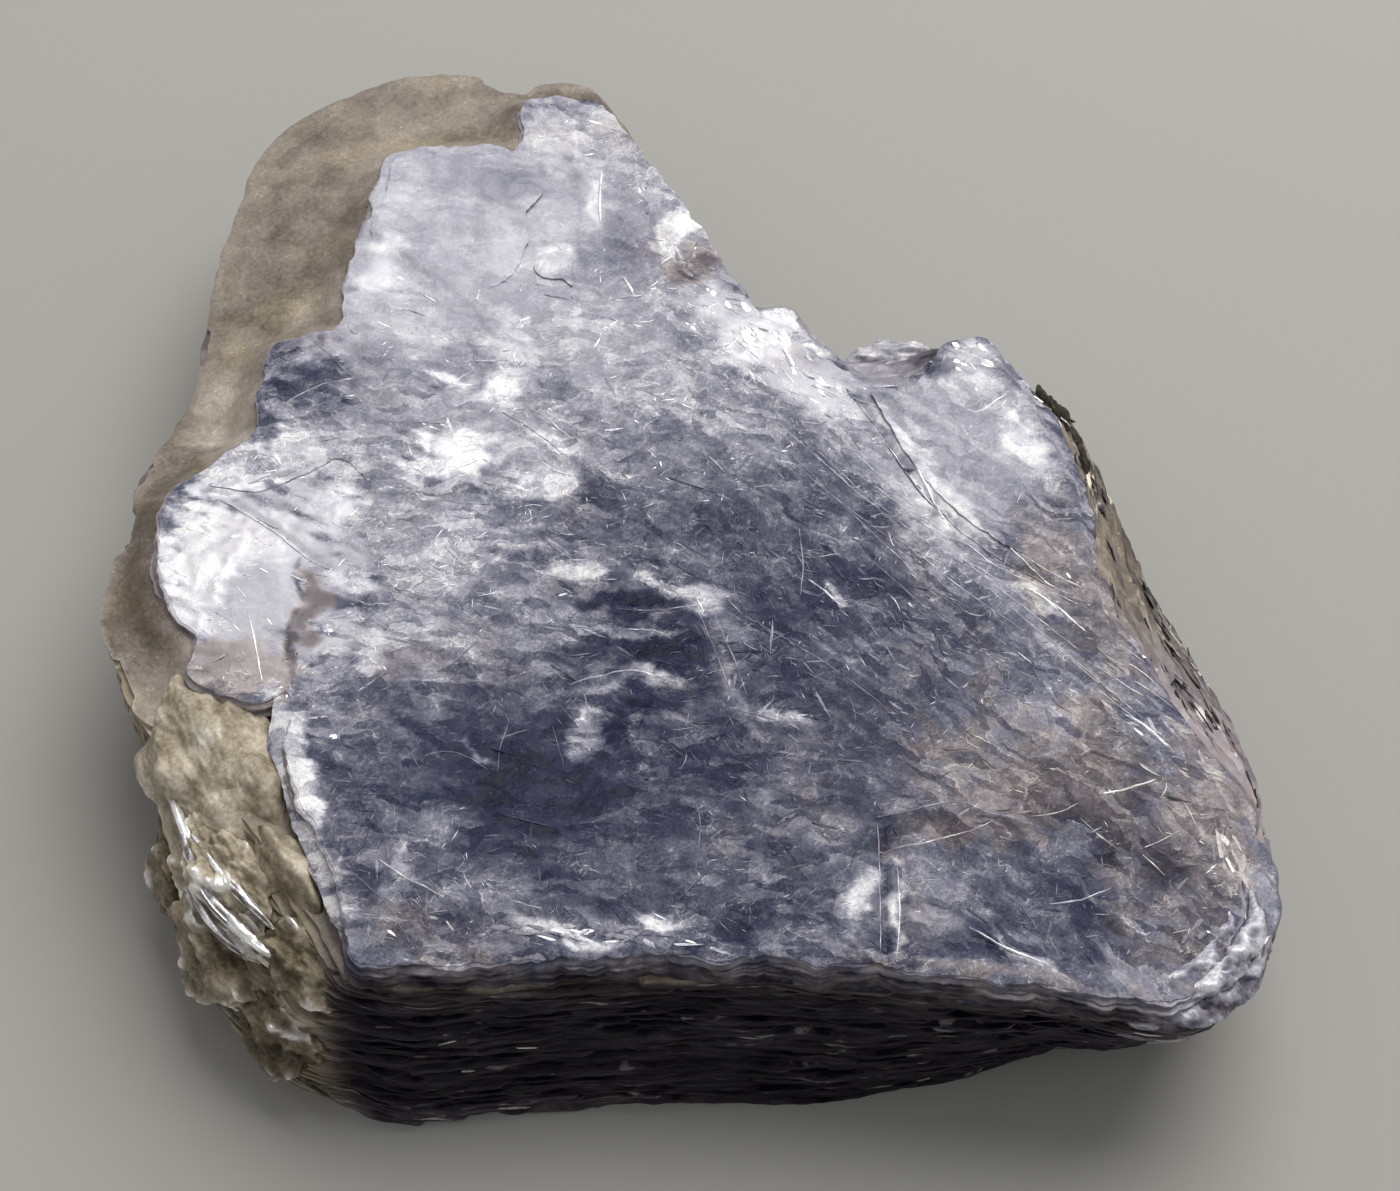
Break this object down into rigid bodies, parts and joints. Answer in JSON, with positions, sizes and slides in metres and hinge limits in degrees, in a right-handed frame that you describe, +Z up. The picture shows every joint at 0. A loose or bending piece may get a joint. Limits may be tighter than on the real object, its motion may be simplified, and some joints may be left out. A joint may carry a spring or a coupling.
{
  "type": "mica crystal",
  "caption": "Natural book of lilac-grey mica: stacked cleavage sheets with a torn, pearly top plate, a lower brown fringe and a lumpy crumpled corner, resting on its flat underside.",
  "frame": {"origin": "centre of the footprint's bounding box, on the flat underside", "axes": "+Z up through the stacked sheets, +Y towards the crystal's narrow back end, +X to its right as seen from the steep front wall"},
  "size_m": [0.0716, 0.076, 0.0152],
  "materials": {
    "mica": "pearly to glassy cleavage faces with silver flakes, dull ragged edges"
  },
  "bodies": {
    "root": {"mica_crystal": "mica"}
  },
  "joints": []
}
